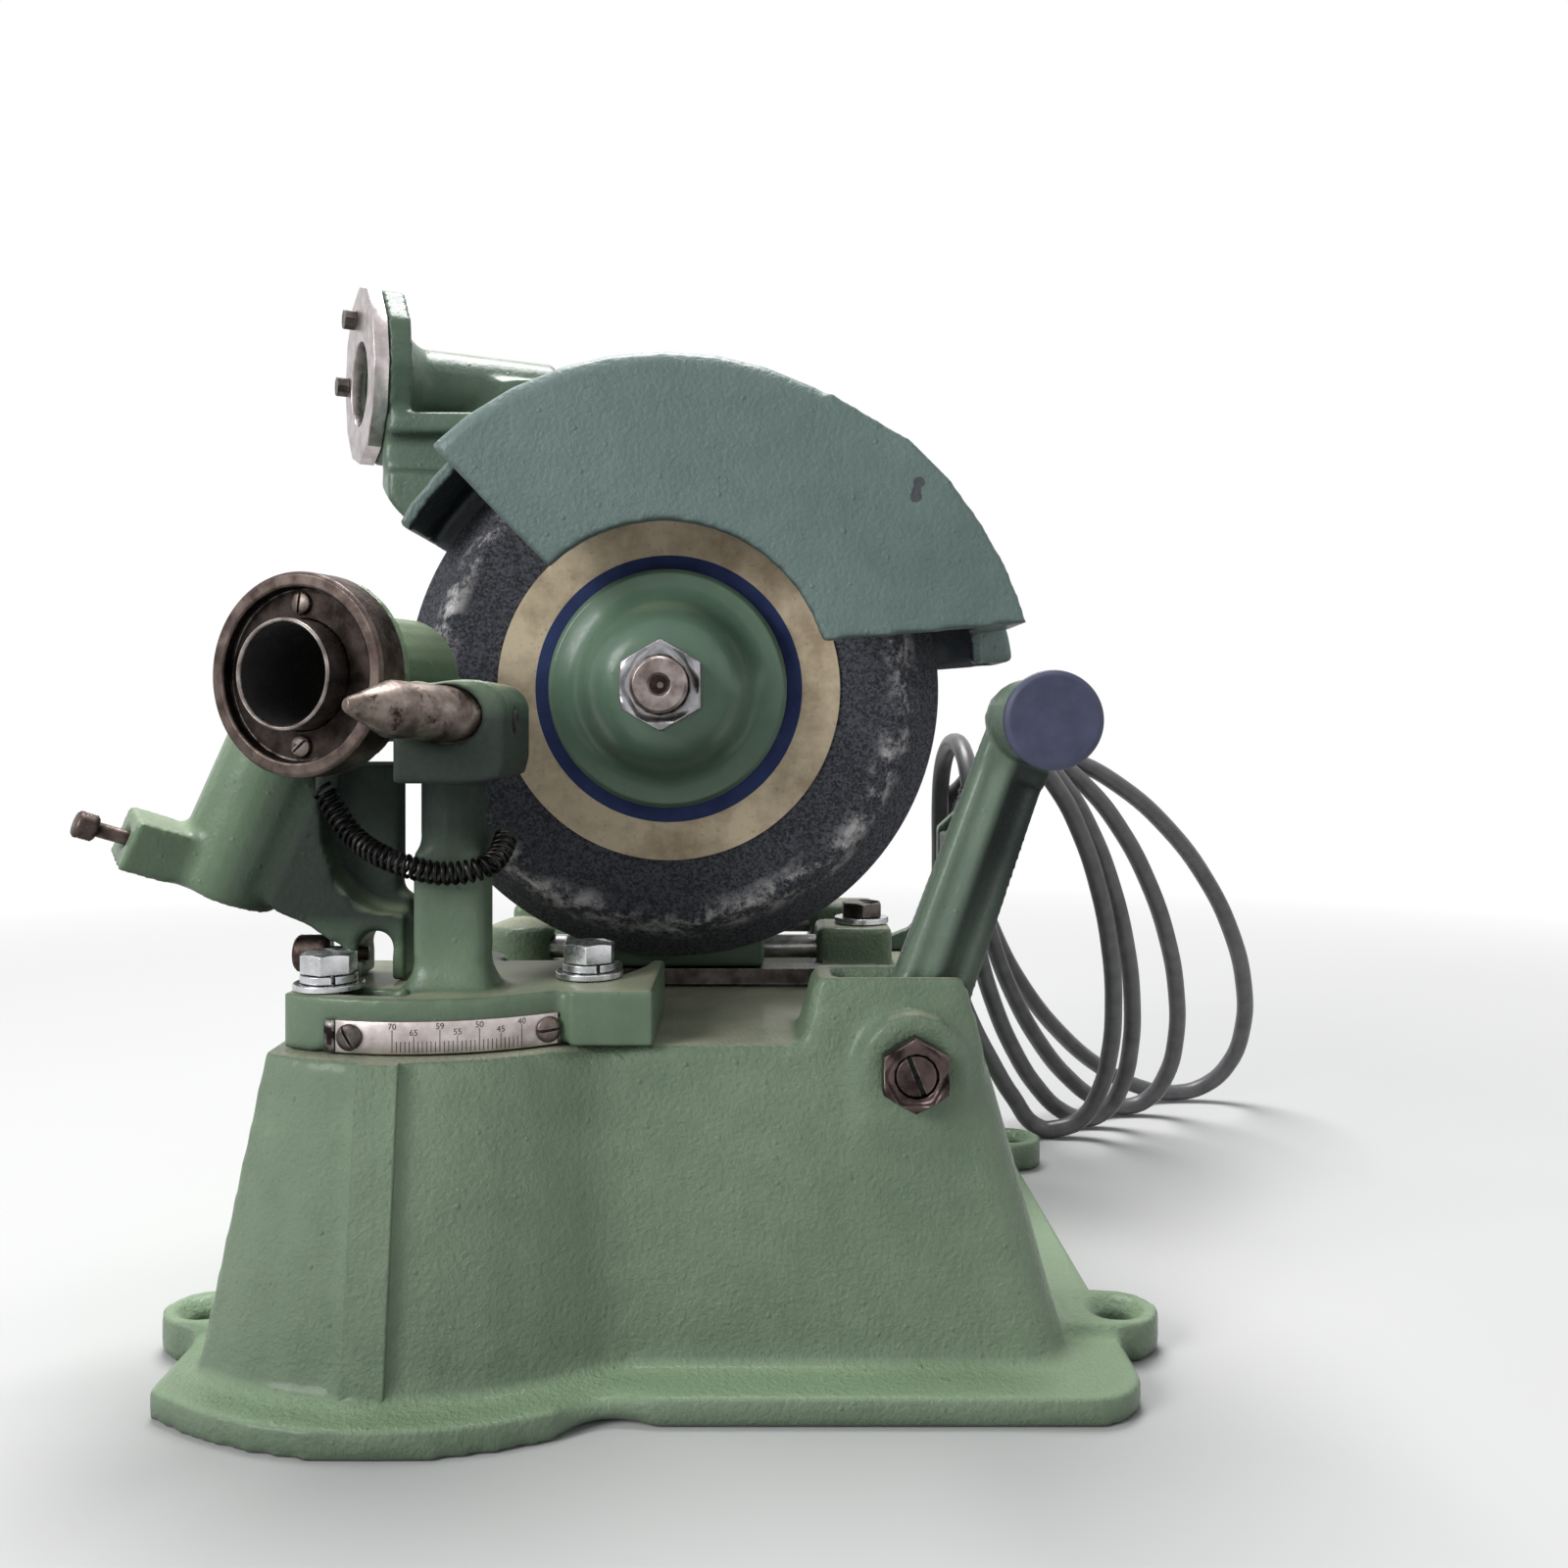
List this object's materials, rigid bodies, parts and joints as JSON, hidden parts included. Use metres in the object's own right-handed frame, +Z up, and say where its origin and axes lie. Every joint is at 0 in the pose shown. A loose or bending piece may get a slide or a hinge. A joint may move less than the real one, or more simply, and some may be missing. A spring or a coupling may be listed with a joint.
{
  "type": "drill bit grinder",
  "caption": "Bench grinder for twist drills: cast base, swivelling scaled table with a swinging drill chuck, hand lever, traversing guarded wheel head and a web thinning station.",
  "frame": {"origin": "on the bench under the wheel's axis, level with the foot of the base's straight front wall", "axes": "+X to the right as the user faces the wheel, +Y back along the wheel's axis, +Z up"},
  "size_m": [0.4863, 0.3932, 0.3856],
  "materials": {
    "cast_paint": "hammered green enamel over rough casting",
    "dark_steel": "oiled dark steel",
    "bright_steel": "zinc plated or ground steel",
    "brown_steel": "browned bare steel, worn at the edges",
    "abrasive": "vitrified grit, grainy",
    "paper": "pressed paper disc",
    "black_plastic": "moulded black",
    "cord_rubber": "grey rubber sheath",
    "winding": "laminations and winding"
  },
  "bodies": {
    "base": {"base_casting": "cast_paint", "lever_pivot_screw": "dark_steel", "lever_jam_nut": "dark_steel", "clamp_bolt_left": "bright_steel", "clamp_bolt_right": "bright_steel", "clamp_washer_left": "bright_steel", "clamp_washer_right": "bright_steel", "clamp_spring_washer_left": "bright_steel", "clamp_spring_washer_right": "bright_steel", "swivel_stud": "dark_steel", "guide_rod_front": "bright_steel", "guide_rod_rear": "bright_steel", "rod_clamp_bolt": "dark_steel", "rod_clamp_washer": "bright_steel", "switch_bracket": "cast_paint", "switch_box": "black_plastic", "cord_gland": "black_plastic", "power_cord": "cord_rubber", "cord_coil": "cord_rubber", "cord_tail": "cord_rubber", "plug": "black_plastic"},
    "toggle": {"switch_toggle": "bright_steel"},
    "swivel": {"swivel_table": "cast_paint", "follower_pin": "brown_steel", "scale_plate": "bright_steel", "scale_screw_left": "bright_steel", "scale_screw_right": "bright_steel", "swing_bracket": "cast_paint"},
    "swing": {"swing_head": "cast_paint", "chuck_ring": "brown_steel", "chuck_sleeve": "bright_steel", "ring_screw_top": "brown_steel", "ring_screw_bottom": "brown_steel", "return_spring": "dark_steel"},
    "lock_screw": {"lock_thumbscrew": "dark_steel"},
    "stop_screw": {"stop_thumbscrew": "dark_steel"},
    "lever": {"lever_arm": "cast_paint", "lever_cap": "black_plastic", "lever_drive_pin": "dark_steel"},
    "wheel_head": {"wheel_head_casting": "cast_paint", "traverse_bar": "dark_steel", "motor_shell": "cast_paint", "motor_rear_bell": "cast_paint", "motor_stator": "winding", "bearing_front": "bright_steel", "bearing_rear": "bright_steel", "wheel_guard": "cast_paint", "guard_screw_left": "dark_steel", "guard_screw_right": "dark_steel", "thinning_bracket": "cast_paint", "thinning_face_plate": "brown_steel", "face_pin_top": "dark_steel", "face_pin_side": "dark_steel"},
    "spindle": {"arbor": "bright_steel", "inner_flange": "dark_steel", "grinding_wheel": "abrasive", "wheel_blotter": "paper", "outer_flange": "cast_paint", "arbor_nut": "bright_steel", "motor_rotor": "winding"}
  },
  "joints": [
    {"name": "table_swivel", "type": "hinge", "parent": "base", "child": "swivel", "pos_m": [-0.0776, 0.0775, 0.105], "axis": [0, 0, 1], "range_deg": [-11, 0]},
    {"name": "chuck_swing", "type": "hinge", "parent": "swivel", "child": "swing", "pos_m": [-0.1488, 0.04, 0.152], "axis": [0.4099, 0, 0.9121], "range_deg": [-25, 0], "stiffness_Nm_per_rad": 1.2, "springref_deg": 17.19, "deforming": ["return_spring"]},
    {"name": "lock_screw_turn", "type": "hinge", "parent": "swivel", "child": "lock_screw", "pos_m": [-0.14552, 0.04, 0.1593], "axis": [-0.7472, -0.5736, 0.3358], "range_deg": [-180, 180]},
    {"name": "stop_screw_turn", "type": "hinge", "parent": "swivel", "child": "stop_screw", "pos_m": [-0.11, 0.034, 0.1315], "axis": [1, 0, 0], "range_deg": [-180, 180]},
    {"name": "lever_rock", "type": "hinge", "parent": "base", "child": "lever", "pos_m": [0.082, 0.03, 0.098], "axis": [0, 1, 0], "range_deg": [-36, 0]},
    {"name": "head_slide", "type": "slide", "parent": "base", "child": "wheel_head", "axis": [1, 0, 0], "range_m": [0, 0.0217]},
    {"name": "spindle_spin", "type": "hinge", "parent": "wheel_head", "child": "spindle", "pos_m": [0, 0.09, 0.221], "axis": [0, 1, 0], "continuous": true},
    {"name": "toggle_flip", "type": "hinge", "parent": "base", "child": "toggle", "pos_m": [0.128, 0.178, 0.146], "axis": [1, 0, 0], "range_deg": [-24, 0]}
  ],
  "couplings": [
    {"joint": "head_slide", "follows": "lever_rock", "m_per_rad": -0.0344}
  ]
}
